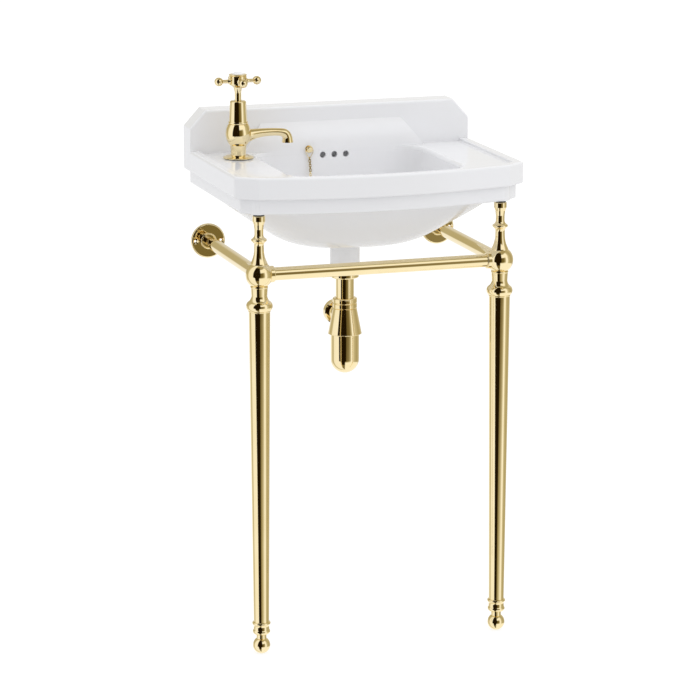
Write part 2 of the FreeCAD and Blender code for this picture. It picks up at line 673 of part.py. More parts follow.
def tap_body():
    waist, belly, top = TAP_WAIST_RADIUS, TAP_BELLY_RADIUS, TAP_BODY_HEIGHT
    tail = -TAP_FLANGE_HEIGHT - TAP_SEAL - TAIL_LENGTH
    points = [
        (0, tail),
        (TAIL_END_RADIUS, tail),
        (TAIL_END_RADIUS, tail + TAIL_END),
        (TAIL_RADIUS, tail + TAIL_END + TAIL_RADIUS - TAIL_END_RADIUS),
        (TAIL_RADIUS, 0),
        (waist, 0),
        (waist, 0.12 * top),
        (waist + 0.35, 0.22 * top, waist + 1.6, 0.32 * top),
        (belly - 3.0, 0.455 * top, belly, 0.65 * top),
        (belly - 1.1, 0.83 * top, BONNET_RING_RADIUS + 0.3, top),
        (0, top),
    ]
    body = turned(points, TAP_X, TAP_Y, TAP_BODY_BASE).fuse(tap_spout())
    outlet = rod(OUTLET_RADIUS - 2.2, spout_end() - 1, spout_end() + OUTLET_DEPTH, TAP_X + TAP_REACH, TAP_Y)
    seat = TAP_BODY_TOP - BONNET_SPIGOT - 8
    chamber = rod(BONNET_SPIGOT_RADIUS + FIT, seat, TAP_BODY_TOP + 1, TAP_X, TAP_Y)
    inlet = rod(TAIL_BORE_RADIUS, DECK - TAIL_LENGTH - 1, seat + 1, TAP_X, TAP_Y)
    return body.cut([outlet, chamber, inlet])


def spout_end():
    return TAP_BODY_BASE + SPOUT_RISE - SPOUT_BEND - SPOUT_DROP


def tap_spout():
    """Nozzle: a tapering arm, a right-angle bend that widens and a flared outlet."""
    run, throat = TAP_REACH - SPOUT_BEND, OUTLET_RADIUS - OUTLET_FLARE
    stations = [
        (0.13 * run, SPOUT_RISE - 5.0, 2.0 * SPOUT_RADIUS, 76),
        (0.36 * run, SPOUT_RISE - 1.0, 1.35 * SPOUT_RADIUS, 82),
        (0.62 * run, SPOUT_RISE + 0.9, 1.06 * SPOUT_RADIUS, 89),
        (run, SPOUT_RISE, SPOUT_RADIUS, 92),
    ]
    for turn in (30, 60, 90):
        x = run + SPOUT_BEND * math.sin(math.radians(turn))
        z = SPOUT_RISE - SPOUT_BEND * (1 - math.cos(math.radians(turn)))
        stations.append((x, z, between(SPOUT_RADIUS, throat, turn / 90), 90 + turn))
    sections = []
    for x, z, radius, tilt in stations:
        section = Part.Wire(Part.makeCircle(radius))
        section.rotate(vec(0, 0, 0), vec(0, 1, 0), tilt)
        section.translate(vec(TAP_X + x, TAP_Y, TAP_BODY_BASE + z))
        sections.append(section)
    outlet = Part.makeCone(OUTLET_RADIUS, throat, SPOUT_DROP, vec(TAP_X + TAP_REACH, TAP_Y, spout_end()))
    return Part.makeLoft(sections, True, False).fuse(outlet)


def tap_back_nut():
    under = DECK - GLAZE_WALL
    nut = hexagon(TAP_NUT_FLATS, under - TAP_NUT_HEIGHT, under - 2, TAP_X, TAP_Y)
    washer = rod(TAP_NUT_FLATS / 2 + 1.5, under - 2, under, TAP_X, TAP_Y)
    return nut.fuse(washer).cut(rod(TAIL_RADIUS + FIT, under - 2 * TAP_NUT_HEIGHT, under + 1, TAP_X, TAP_Y))


def tap_bonnet():
    bore, low, top = STEM_RADIUS + GAP, BONNET_RING_RADIUS, BONNET_HEIGHT
    points = [
        (bore, -BONNET_SPIGOT),
        (BONNET_SPIGOT_RADIUS, -BONNET_SPIGOT),
        (BONNET_SPIGOT_RADIUS, 0),
        (low - 0.8, 0),
        (low, BONNET_RING / 2, low - 0.8, BONNET_RING),
        (BONNET_RADIUS, BONNET_RING),
        (BONNET_TOP_RADIUS, top - 3.5),
        (BONNET_TOP_RADIUS - 1, top - 1, BONNET_TOP_RADIUS - 3.5, top),
        (bore, top),
    ]
    return turned(points, TAP_X, TAP_Y, TAP_BODY_TOP)


def tap_spindle():
    low, pin_top = TAP_BODY_TOP - BONNET_SPIGOT - 4, HUB_TOP - 4
    points = [
        (0, low),
        (STEM_RADIUS, low),
        (STEM_RADIUS, HUB_BASE - STEM_FLARE),
        (STEM_RADIUS + 0.8, HUB_BASE - 0.45 * STEM_FLARE, STEM_FLARE_RADIUS, HUB_BASE),
        (HUB_PIN_RADIUS, HUB_BASE),
        (HUB_PIN_RADIUS, pin_top),
        (0, pin_top),
    ]
    return turned(points, TAP_X, TAP_Y)


def tap_handle():
    bore = HUB_PIN_RADIUS + FIT
    hub = turned([
        (bore, 0),
        (STEM_FLARE_RADIUS, 0),
        (HUB_RADIUS - 0.3, 0.22 * HUB_HEIGHT),
        (HUB_RADIUS, 0.3 * HUB_HEIGHT),
        (HUB_RADIUS, HUB_HEIGHT - 1.2),
        (HUB_RADIUS - 1, HUB_HEIGHT),
        (bore, HUB_HEIGHT),
    ], TAP_X, TAP_Y, HUB_BASE)
    neck = HANDLE_REACH - math.sqrt(HANDLE_BALL_RADIUS**2 - HANDLE_ARM_RADIUS**2)
    arm = turned([
        (0, HUB_RADIUS / 2),
        (1.6 * HANDLE_ARM_RADIUS, HUB_RADIUS / 2),
        (1.6 * HANDLE_ARM_RADIUS, HUB_RADIUS),
        (1.2 * HANDLE_ARM_RADIUS, HUB_RADIUS + 2, HANDLE_ARM_RADIUS, HUB_RADIUS + 5),
        (HANDLE_ARM_RADIUS, neck),
        (HANDLE_BALL_RADIUS, HANDLE_REACH, 0, HANDLE_REACH + HANDLE_BALL_RADIUS),
    ])
    arms = []
    for turn in (0, 90, 180, 270):
        side_arm = facing_x(arm, 0, 0, 0)
        side_arm.rotate(vec(0, 0, 0), vec(0, 0, 1), turn)
        arms.append(moved(side_arm, TAP_X, TAP_Y, HUB_BASE + HUB_HEIGHT / 2))
    return hub.fuse(arms)


def tap_handle_cap():
    rim, top = HANDLE_CAP_RADIUS, HANDLE_CAP_HEIGHT
    points = [
        (0, -3),
        (HUB_PIN_RADIUS, -3),
        (HUB_PIN_RADIUS, 0),
        (rim - 0.5, 0),
        (rim, 0.36 * top, rim - 0.5, 0.73 * top),
        (rim - 3, top),
        (INDEX_RADIUS + FIT, top),
        (INDEX_RADIUS + FIT, INDEX_SEAT),
        (0, INDEX_SEAT),
    ]
    return turned(points, TAP_X, TAP_Y, HUB_TOP)


def tap_index():
    """Domed button, left plain."""
    edge = HANDLE_CAP_HEIGHT + 0.2
    rise = INDEX_HEIGHT - edge
    radius = (INDEX_RADIUS**2 + rise**2) / (2 * rise)
    turn = math.asin(INDEX_RADIUS / radius) / 2
    points = [
        (0, INDEX_SEAT),
        (INDEX_RADIUS, INDEX_SEAT),
        (INDEX_RADIUS, edge),
        (radius * math.sin(turn), INDEX_HEIGHT - radius * (1 - math.cos(turn)), 0, INDEX_HEIGHT),
    ]
    return turned(points, TAP_X, TAP_Y, HUB_TOP)


# Chain and plug


def chain_stay():
    length = STAY_HEAD + STAY_NECK_LENGTH + STAY_PLATE
    points = [
        (0, 0),
        (STAY_HEAD_RADIUS - 2, 0),
        (STAY_HEAD_RADIUS - 0.4, 0.3 * STAY_HEAD, STAY_HEAD_RADIUS, 0.7 * STAY_HEAD),
        (STAY_HEAD_RADIUS - 0.5, STAY_HEAD),
        (STAY_NECK_RADIUS, STAY_HEAD),
        (STAY_NECK_RADIUS, STAY_HEAD + STAY_NECK_LENGTH),
        (STAY_HEAD_RADIUS + 1, STAY_HEAD + STAY_NECK_LENGTH),
        (STAY_HEAD_RADIUS + 1, length),
        (STAY_NECK_RADIUS, length),
        (STAY_NECK_RADIUS, length + BOWL_BACK - SLOPE_BACK + STAY_NUT + 1),
        (0, length + BOWL_BACK - SLOPE_BACK + STAY_NUT + 1),
    ]
    return facing_y(turned(points), STAY_X, BOWL_BACK_Y - length, STAY_HEIGHT)


def stay_nut():
    nut = hexagon(3.6 * STAY_NECK_RADIUS, 0, STAY_NUT, 0, 0)
    nut = nut.cut(rod(STAY_NECK_RADIUS + FIT, -1, STAY_NUT + 1))
    return facing_y(nut, STAY_X, WALL - SLOPE_BACK, STAY_HEIGHT)


def chain_ring_y():
    return BOWL_BACK_Y - STAY_PLATE - STAY_NECK_LENGTH / 2


def chain_ring_top():
    """Height of the ring's wire where it lies over the stay's neck."""
    return STAY_HEIGHT + STAY_NECK_RADIUS + FIT + CHAIN_RING_WIRE


def chain_ring():
    """Pear-shaped ring: a wide arc above, two straight sides and a tight arc at the tip."""
    big, small = CHAIN_RING_RADIUS, CHAIN_RING_TIP_RADIUS
    apart = CHAIN_RING_DROP - big - small
    lean = math.asin((big - small) / apart)
    centre_z = chain_ring_top() - big

    def place(x, z):
        return vec(STAY_X + x, chain_ring_y(), centre_z + z)

    across_big, below_big = big * math.cos(lean), -big * math.sin(lean)
    across_small, below_small = small * math.cos(lean), -apart - small * math.sin(lean)
    path = Part.Wire([
        arc(place(-across_big, below_big), place(0, big), place(across_big, below_big)),
        line(place(across_big, below_big), place(across_small, below_small)),
        arc(place(across_small, below_small), place(0, -apart - small), place(-across_small, below_small)),
        line(place(-across_small, below_small), place(-across_big, below_big)),
    ])
    along = vec(math.sin(lean), 0, math.cos(lean))
    section = Part.Wire(Part.makeCircle(CHAIN_RING_WIRE, place(-across_big, below_big), along))
    return path.makePipeShell([section], True, False)


def chain_link():
    """Long octagonal link of square wire, lying along X in the XY plane."""
    outer = link_outline(LINK_LENGTH, LINK_WIDTH)
    inner = link_outline(LINK_LENGTH - 2 * LINK_WIRE, LINK_WIDTH - 2 * LINK_WIRE)
    return moved(outer.cut(inner), 0, 0, -LINK_WIRE / 2)


def link_outline(length, width):
    corner = 0.24 * width
    quarter = [vec(length / 2, width / 2 - corner, 0), vec(length / 2 - corner, width / 2, 0)]
    points = quarter + [vec(-p.x, p.y, 0) for p in quarter[::-1]]
    points = points + [vec(-p.x, -p.y, 0) for p in points]
    return Part.Face(Part.makePolygon(points + points[:1])).extrude(vec(0, 0, LINK_WIRE))


def chain_route():
    """Hand-placed points from the ring's tip down the bowl's back and over its floor to the plug's eye."""
    tip = chain_ring_top() - CHAIN_RING_DROP
    hang = LINK_LENGTH / 2 - LINK_WIRE - LINK_PLAY
    eye = vec(-EYE_RADIUS - hang + EYE_WIRE, WASTE_Y, eye_height())
    return [
        vec(STAY_X, chain_ring_y(), tip + CHAIN_RING_WIRE - hang),
        vec(STAY_X, BOWL_BACK_Y - 11, RIM - 0.39 * BOWL_DEPTH),
        vec(STAY_X + 1, BOWL_BACK_Y - 18, RIM - 0.67 * BOWL_DEPTH),
        vec(STAY_X + 7, BOWL_BACK_Y - 28, BOWL_FLOOR + 21),
        vec(STAY_X + 21, BOWL_BACK_Y - 41, BOWL_FLOOR + 11),
        vec(STAY_X + 33, BOWL_BACK_Y - 57.5, BOWL_FLOOR + 11.5),
        eye,
    ]


def plug_chain():
    curve = Part.BSplineCurve()
    curve.interpolate(chain_route())
    length = curve.length()
    spaces = 2 * round(length / LINK_PITCH / 2)
    link = chain_link()
    links = []
    for i in range(spaces + 1):
        place = curve.parameterAtDistance(length * i / spaces, curve.FirstParameter)
        along = vec(*curve.tangent(place)[0])
        sideways = along.cross(vec(0, 1, 0)).normalize()
        flat = along.cross(sideways) if i % 2 else sideways
        turn = FreeCAD.Rotation(along, flat.cross(along), flat, "XZY")
        links.append(link.transformed(FreeCAD.Placement(curve.value(place), turn).toMatrix()))
    return Part.makeCompound(links)


def eye_height():
    return BOWL_FLOOR + PLUG_DOME + PLUG_CAP_HEIGHT + EYE_WIRE + EYE_RADIUS


def plug():
    narrow = WASTE_BORE_RADIUS - GAP
    points = [
        (0, -PLUG_DEPTH),
        (narrow - 1, -PLUG_DEPTH),
        (narrow, -PLUG_DEPTH + 1),
        (PLUG_RADIUS, 0),
        (PLUG_RADIUS, 0.4 * PLUG_DOME),
        (PLUG_RADIUS - 2, 0.85 * PLUG_DOME, PLUG_CAP_RADIUS, PLUG_DOME),
        (0, PLUG_DOME),
    ]
    return turned(points, 0, WASTE_Y, BOWL_FLOOR)


def plug_cap():
    points = [
        (0, 0),
        (PLUG_CAP_RADIUS, 0),
        (PLUG_CAP_RADIUS - 0.5, 0.7 * PLUG_CAP_HEIGHT, PLUG_CAP_RADIUS - 3, PLUG_CAP_HEIGHT),
        (2.2 * EYE_WIRE, PLUG_CAP_HEIGHT),
        (1.4 * EYE_WIRE, PLUG_CAP_HEIGHT + EYE_WIRE),
        (0, PLUG_CAP_HEIGHT + EYE_WIRE),
    ]
    cap = turned(points, 0, WASTE_Y, BOWL_FLOOR + PLUG_DOME)
    eye = Part.makeTorus(EYE_RADIUS, EYE_WIRE, vec(0, WASTE_Y, eye_height()), vec(0, 1, 0))
    return cap.fuse(eye)


# Waste and trap


def waste_body():
    points = [
        (WASTE_BORE_RADIUS, WASTE_END),
        (WASTE_TAIL_RADIUS, WASTE_END),
        (WASTE_TAIL_RADIUS, WASTE_SEAT),
        (WASTE_FLANGE_RADIUS, WASTE_SEAT),
        (WASTE_FLANGE_RADIUS, WASTE_SEAT + 0.5 * WASTE_SEAT_DEPTH),
        (WASTE_FLANGE_RADIUS - 1, BOWL_FLOOR - 0.3, WASTE_FLANGE_RADIUS - 4, BOWL_FLOOR),
        (PLUG_RADIUS + GAP, BOWL_FLOOR),
        (WASTE_BORE_RADIUS, BOWL_FLOOR - PLUG_DEPTH),
    ]
    low, high = BOSS_END + WASTE_SLOT_RISE, BOSS_END + WASTE_SLOT_RISE + WASTE_SLOT_HEIGHT
    half, reach = WASTE_SLOT_WIDTH / 2, WASTE_TAIL_RADIUS + 1
    slots = [
        block(vec(-reach, WASTE_Y - half, low), vec(reach, WASTE_Y + half, high)),
        block(vec(-half, WASTE_Y - reach, low), vec(half, WASTE_Y + reach, high)),
    ]
    return turned(points, 0, WASTE_Y).cut(slots)


def waste_grid():
    """Cross in a ring, below the plug."""
    high, reach, half = BOWL_FLOOR - PLUG_DEPTH - 5, WASTE_BORE_RADIUS - 1, WASTE_BAR / 2
    low = high - WASTE_BAR
    bars = [
        block(vec(-reach, WASTE_Y - half, low), vec(reach, WASTE_Y + half, high)),
        block(vec(-half, WASTE_Y - reach, low), vec(half, WASTE_Y + reach, high)),
    ]
    outer = WASTE_BORE_RADIUS - FIT
    return ring(outer, outer - WASTE_GRID_RING, low, high, 0, WASTE_Y).fuse(bars)


def waste_washer():
    return ring(BOSS_RADIUS - 1, WASTE_TAIL_RADIUS + FIT, BOSS_END - WASHER_THICKNESS, BOSS_END, 0, WASTE_Y)


def waste_nut():
    nut = hexagon(WASTE_NUT_FLATS, UNION_TOP, UNION_TOP + WASTE_NUT_HEIGHT, 0, WASTE_Y)
    return nut.cut(rod(WASTE_TAIL_RADIUS + FIT, UNION_TOP - 1, UNION_TOP + WASTE_NUT_HEIGHT + 1, 0, WASTE_Y))


def union_nut():
    bore, lip = WASTE_TAIL_RADIUS + FIT, PIPE_RADIUS + FIT
    points = [
        (lip, 0),
        (UNION_RADIUS - 3, 0),
        (UNION_RADIUS - 0.5, 0.8, UNION_RADIUS, 3),
        (UNION_RADIUS, UNION_HEIGHT - 1),
        (UNION_RADIUS - 1, UNION_HEIGHT),
        (bore, UNION_HEIGHT),
        (bore, UNION_LIP),
        (lip, UNION_LIP),
    ]
    return turned(points, 0, WASTE_Y, UNION_BASE)


def tail_pipe():
    inside, collar = PIPE_RADIUS - PIPE_WALL, UNION_BASE + UNION_LIP
    points = [
        (inside, pipe_end()),
        (PIPE_RADIUS, pipe_end()),
        (PIPE_RADIUS, collar),
        (PIPE_COLLAR_RADIUS, collar),
        (PIPE_COLLAR_RADIUS, WASTE_END),
        (inside, WASTE_END),
    ]
    return turned(points, 0, WASTE_Y)


def pipe_end():
    """The tail pipe stops on a ledge in the bell's neck."""
    return BELL_SHOULDER - 1


def trap_inlet_nut():
    rim, high, lip = INLET_NUT_RADIUS, INLET_NUT_HEIGHT, PIPE_RADIUS + FIT
    bore, seat = BELL_NECK_RADIUS + FIT, INLET_NUT_HEIGHT - INLET_LIP
    points = [
        (bore, 0),
        (rim - 0.8, 0),
        (rim, 1),
        (rim, 0.42 * high),
        (rim - 1.6, 0.5 * high, rim, 0.58 * high),
        (rim, high - 3),
        (rim - 0.7, high - 0.7, rim - 3, high),
        (lip, high),
        (lip, seat),
        (bore, seat),
    ]
    return turned(points, 0, WASTE_Y, BELL_SHOULDER)


def trap_bell():
    socket, ledge = CUP_RADIUS + GAP, CUP_SOCKET + GAP + CUP_WASHER
    shoulder = BELL_HEIGHT
    neck_top = shoulder + INLET_NUT_HEIGHT - INLET_LIP - FIT
    roof = pipe_end() - BELL_BASE - BELL_WALL
    slope = (BELL_RADIUS - BELL_TOP_RADIUS) / BELL_HEIGHT
    outside = turned([
        (0, 0),
        (BELL_RADIUS - 1, 0),
        (BELL_RADIUS, 0.4, BELL_RADIUS - 0.2, 1.5),
        (BELL_TOP_RADIUS, shoulder - 1),
        (BELL_TOP_RADIUS - 1, shoulder),
        (BELL_NECK_RADIUS, shoulder),
        (BELL_NECK_RADIUS, neck_top),
        (0, neck_top),
    ], 0, WASTE_Y, BELL_BASE)
    outlet_z = BELL_SHOULDER - OUTLET_DROP
    branch = facing_y(rod(BRANCH_RADIUS, 0, BRANCH_REACH), 0, WASTE_Y, outlet_z)
    inside = turned([
        (0, -1),
        (socket, -1),
        (socket, ledge),
        (BELL_RADIUS - BELL_WALL - slope * ledge, ledge),
        (BELL_RADIUS - BELL_WALL - slope * roof, roof),
        (0, roof),
    ], 0, WASTE_Y, BELL_BASE)
    branch_bore = facing_y(rod(BRANCH_RADIUS - 2.5, 0, BRANCH_REACH + 1), 0, WASTE_Y, outlet_z)
    neck_bore = rod(PIPE_RADIUS + FIT, pipe_end(), BELL_SHOULDER + INLET_NUT_HEIGHT, 0, WASTE_Y)
    collar_seat = rod(DIP_COLLAR_RADIUS + FIT, pipe_end() - DIP_COLLAR, pipe_end(), 0, WASTE_Y)
    dip_hole = rod(DIP_RADIUS + FIT, BELL_BASE, pipe_end(), 0, WASTE_Y)
    return outside.fuse(branch).cut([inside, branch_bore, neck_bore, collar_seat, dip_hole])


def trap_dip_tube():
    """Tube that carries the water down into the cup, hung by its collar under the tail pipe."""
    inner, collar = DIP_RADIUS - PIPE_WALL, pipe_end() - DIP_COLLAR
    points = [
        (inner, BELL_BASE - DIP_BELOW_BELL),
        (DIP_RADIUS, BELL_BASE - DIP_BELOW_BELL),
        (DIP_RADIUS, collar),
        (DIP_COLLAR_RADIUS, collar),
        (DIP_COLLAR_RADIUS, pipe_end()),
        (inner, pipe_end()),
    ]
    return turned(points, 0, WASTE_Y)


def trap_cup():
    inner, low = CUP_RADIUS - CUP_WALL, -CUP_HEIGHT
    centre = low + CUP_RADIUS
    slant = math.sqrt(0.5)
    points = [
        (0, low),
        (CUP_RADIUS * slant, centre - CUP_RADIUS * slant, CUP_RADIUS, centre),
        (CUP_RADIUS, CUP_SOCKET),
        (inner, CUP_SOCKET),
        (inner, centre),
        (inner * slant, centre - inner * slant, 0, centre - inner),
    ]
    return turned(points, 0, WASTE_Y, BELL_BASE)


def trap_cup_washer():
    low = BELL_BASE + CUP_SOCKET + GAP
    return ring(CUP_RADIUS, CUP_RADIUS - CUP_WALL, low, low + CUP_WASHER, 0, WASTE_Y)


def outlet_nut_start():
    return WASTE_Y + BRANCH_REACH + OUTLET_SEAL + OUTLET_NUT_LIP - OUTLET_NUT_LENGTH


def trap_outlet_nut():
    rim, long = OUTLET_NUT_RADIUS, OUTLET_NUT_LENGTH
    bore, lip = BRANCH_RADIUS + FIT, OUTLET_BORE_RADIUS
    points = [
        (bore, 0),
        (rim - 2, 0),
        (rim, 1.5),
        (rim, long - 2.5),
        (rim - 0.8, long - 0.7, rim - 2.5, long),
        (lip, long),
        (lip, long - OUTLET_NUT_LIP),
        (bore, long - OUTLET_NUT_LIP),
    ]
    return facing_y(turned(points), 0, outlet_nut_start(), BELL_SHOULDER - OUTLET_DROP)


def trap_outlet_seal():
    seal = ring(BRANCH_RADIUS, OUTLET_BORE_RADIUS, 0, OUTLET_SEAL)
    return facing_y(seal, 0, WASTE_Y + BRANCH_REACH, BELL_SHOULDER - OUTLET_DROP)


# Stand


def foot(side):
    ball, stem = FOOT_BALL_RADIUS, FOOT_STEM_RADIUS
    centre = ball - FOOT_FLAT
    flat = math.sqrt(ball**2 - centre**2)
    neck = centre + math.sqrt(ball**2 - stem**2)
    points = [
        (0, 0),
        (flat, 0),
        (ball, centre, stem, neck),
        (stem, FERRULE_BASE + FOOT_STEM_LENGTH - 1),
        (stem - 1, FERRULE_BASE + FOOT_STEM_LENGTH),
        (0, FERRULE_BASE + FOOT_STEM_LENGTH),
    ]
    return turned(points, side * LEG_SPACING / 2, LEG_Y)


def ferrule(side):
    """Turned ferrule with a spigot for the leg tube; the foot's stem slides in it."""
    bore, tip, bead, high = FOOT_STEM_RADIUS + GAP, LEG_FOOT_RADIUS, FERRULE_RADIUS, FERRULE_HEIGHT
    spigot = tip - LEG_WALL - FIT
    points = [
        (bore, 0),
        (tip - 1.5, 0),
        (bead - 0.8, 0.2 * high, tip + 0.5, 0.38 * high),
        (tip + 0.2, 0.62 * high),
        (tip + 0.4, 0.7 * high, bead - 1.5, 0.76 * high),
        (bead, 0.88 * high, bead - 1.5, high),
        (spigot, high),
        (spigot, high + FERRULE_SPIGOT),
        (bore, high + FERRULE_SPIGOT),
    ]
    return turned(points, side * LEG_SPACING / 2, LEG_Y, FERRULE_BASE)


def leg(side):
    """Tapered tube, swaged at the top."""
    tip, top, high = LEG_FOOT_RADIUS, LEG_TOP_RADIUS, LEG_TUBE_LENGTH
    points = [
        (tip - LEG_WALL, 0),
        (tip, 0),
        (top, high - 3),
        (top + 0.9, high - 1.5, top, high),
        (top - LEG_WALL, high),
    ]
    return turned(points, side * LEG_SPACING / 2, LEG_Y, TUBE_BASE)


def corner(side):
    """Turned corner post: spigot, collar, neck, ball with two rail sockets, thin post with ring and stud."""
    x = side * LEG_SPACING / 2
    collar_top = COLLAR_BASE + COLLAR_HEIGHT
    ball, neck, post, bead = BALL_RADIUS, NECK_RADIUS, POST_RADIUS, POST_RING_RADIUS
    taper = (LEG_TOP_RADIUS - LEG_FOOT_RADIUS) / LEG_TUBE_LENGTH
    spigot = LEG_TOP_RADIUS - LEG_WALL - 2 * taper * COLLAR_SPIGOT - FIT
    ball_low = BALL_HEIGHT - math.sqrt(ball**2 - (neck + 0.3) ** 2)
    ball_high = BALL_HEIGHT + math.sqrt(ball**2 - (neck + 0.9) ** 2)
    ring_z = BALL_HEIGHT + 0.59 * POST_HEIGHT
    points = [
        (0, COLLAR_BASE - COLLAR_SPIGOT),
        (spigot, COLLAR_BASE - COLLAR_SPIGOT),
        (spigot, COLLAR_BASE),
        (COLLAR_RADIUS - 2.5, COLLAR_BASE),
        (COLLAR_RADIUS, COLLAR_BASE + COLLAR_HEIGHT / 2, COLLAR_RADIUS - 2.5, collar_top),
        (neck + 2, COLLAR_BASE + 1.35 * COLLAR_HEIGHT, neck, collar_top + 0.46 * NECK_HEIGHT),
        (neck + 0.8, ball_low - 3.6),
        (neck + 1.6, ball_low - 1.8, neck + 0.3, ball_low),
        (ball, BALL_HEIGHT, neck + 0.9, ball_high),
        (neck + 0.9, ball_high + 1.7),
        (post + 2.6, BALL_HEIGHT + 0.3 * POST_HEIGHT, post + 0.8, BALL_HEIGHT + 0.42 * POST_HEIGHT),
        (post + 0.6, ring_z - 9),
        (post + 2.0, ring_z - 4.6, bead - 1.4, ring_z - 2.4),
        (bead, ring_z, bead - 1.4, ring_z + 2.4),
        (post + 1.6, ring_z + 4.6, post, ring_z + 9),
        (post, BALL_HEIGHT + 0.77 * POST_HEIGHT),
        (post + 1, BALL_HEIGHT + 0.85 * POST_HEIGHT),
        (POST_CAP_RADIUS, BALL_HEIGHT + 0.91 * POST_HEIGHT),
        (POST_CAP_RADIUS, POST_TOP - 1),
        (POST_CAP_RADIUS - 1, POST_TOP),
        (STUD_RADIUS, POST_TOP),
        (STUD_RADIUS, UNDERSIDE + STUD_LENGTH),
        (0, UNDERSIDE + STUD_LENGTH),
    ]
    sleeve = turned([
        (0, 0),
        (SOCKET_RADIUS, 0),
        (SOCKET_RADIUS, SOCKET_REACH - 1.5),
        (SOCKET_RADIUS - 0.4, SOCKET_REACH - 0.4, SOCKET_RADIUS - 1.5, SOCKET_REACH),
        (0, SOCKET_REACH),
    ])
    bore = rod(RAIL_RADIUS + FIT, SOCKET_REACH - SOCKET_DEPTH, SOCKET_REACH + 1)
    body = turned(points, x, LEG_Y)
    sleeves, bores = [
        [facing_x(solid, x, LEG_Y, BALL_HEIGHT, -side), facing_y(solid, x, LEG_Y, BALL_HEIGHT)]
        for solid in (sleeve, bore)
    ]
    return body.fuse(sleeves).cut(bores)


def post_pad(side):
    return ring(PAD_RADIUS, STUD_RADIUS + FIT, POST_TOP, UNDERSIDE, side * LEG_SPACING / 2, LEG_Y)


def rail_start():
    """Distance from a ball's centre to the end of the rail in its socket."""
    return SOCKET_REACH - SOCKET_DEPTH + FIT


def rail_front():
    length = LEG_SPACING - 2 * rail_start()
    return facing_x(ring(RAIL_RADIUS, RAIL_RADIUS - RAIL_WALL, 0, length), -length / 2, LEG_Y, BALL_HEIGHT)


def rail_side(side):
    """Tube with a bush in its wall end, which slides on the wall flange's spigot."""
    length = LEG_FROM_WALL - rail_start() - RAIL_WALL_GAP
    inside, bore = RAIL_RADIUS - RAIL_WALL, SPIGOT_RADIUS + GAP
    points = [
        (inside, 0),
        (RAIL_RADIUS, 0),
        (RAIL_RADIUS, length - 1),
        (RAIL_RADIUS - 1, length),
        (bore, length),
        (bore, length - RAIL_BUSH),
        (inside, length - RAIL_BUSH),
    ]
    return facing_y(turned(points), side * LEG_SPACING / 2, LEG_Y + rail_start(), BALL_HEIGHT)


def wall_flange(side):
    """Round plate on the wall with two countersunk holes, a raised ring and the spigot for the side rail."""
    x, length = side * LEG_SPACING / 2, RAIL_WALL_GAP + SPIGOT_DEPTH
    face, edge = length - WALL_FLANGE_THICKNESS, WALL_FLANGE_RADIUS
    outer = WALL_FLANGE_RING_RADIUS
    ring_top = face - WALL_FLANGE_RING_HEIGHT
    points = [
        (0, 0),
        (SPIGOT_RADIUS - 1, 0),
        (SPIGOT_RADIUS, 1),
        (SPIGOT_RADIUS, face),
        (outer - 3.2, face),
        (outer - 3.2, ring_top + 0.8),
        (outer - 1.6, ring_top, outer, ring_top + 1.2),
        (outer, face),
        (edge - 2.5, face),
        (edge - 0.7, face + 0.8, edge, face + 2.5),
        (edge, length),
        (0, length),
    ]
    y = WALL - length
    plate = facing_y(turned(points), x, y, BALL_HEIGHT)
    mouth = SCREW_HEAD_RADIUS + 0.5
    sink = Part.makeCone(mouth, SCREW_HOLE_RADIUS, mouth - SCREW_HOLE_RADIUS)
    cutter = sink.fuse(rod(SCREW_HOLE_RADIUS, 0, WALL_FLANGE_THICKNESS + 1))
    across = SCREW_SPACING / 2
    return plate.cut([facing_y(cutter, x + way * across, y + face, BALL_HEIGHT) for way in (-1, 1)])


# Sub-parts


PIECES = {
    "basin": basin,
    "tap_body": tap_body,
    "tap_flange": tap_flange,
    "tap_seal": tap_seal,
    "tap_back_nut": tap_back_nut,
    "tap_bonnet": tap_bonnet,
    "tap_spindle": tap_spindle,
    "tap_handle": tap_handle,
    "tap_handle_cap": tap_handle_cap,
    "tap_index": tap_index,
    "chain_stay": chain_stay,
    "stay_nut": stay_nut,
    "chain_ring": chain_ring,
    "plug_chain": plug_chain,
    "plug": plug,
    "plug_cap": plug_cap,
    "waste_body": waste_body,
    "waste_grid": waste_grid,
    "waste_washer": waste_washer,
    "waste_nut": waste_nut,
    "union_nut": union_nut,
    "tail_pipe": tail_pipe,
    "trap_inlet_nut": trap_inlet_nut,
    "trap_bell": trap_bell,
    "trap_dip_tube": trap_dip_tube,
    "trap_cup": trap_cup,
    "trap_cup_washer": trap_cup_washer,
    "trap_outlet_nut": trap_outlet_nut,
    "trap_outlet_seal": trap_outlet_seal,
    "rail_front": rail_front,
}

PIECES_PER_SIDE = {
    "foot": foot,
    "ferrule": ferrule,
    "leg": leg,
    "corner": corner,
    "post_pad": post_pad,
    "rail": rail_side,
    "wall_flange": wall_flange,
}

os.makedirs("parts", exist_ok=True)
for name, make in PIECES.items():
    make().exportStep("parts/" + name + ".step")
for name, make in PIECES_PER_SIDE.items():
    for side_name, side_sign in SIDES.items():
        make(side_sign).exportStep("parts/" + name + "_" + side_name + ".step")
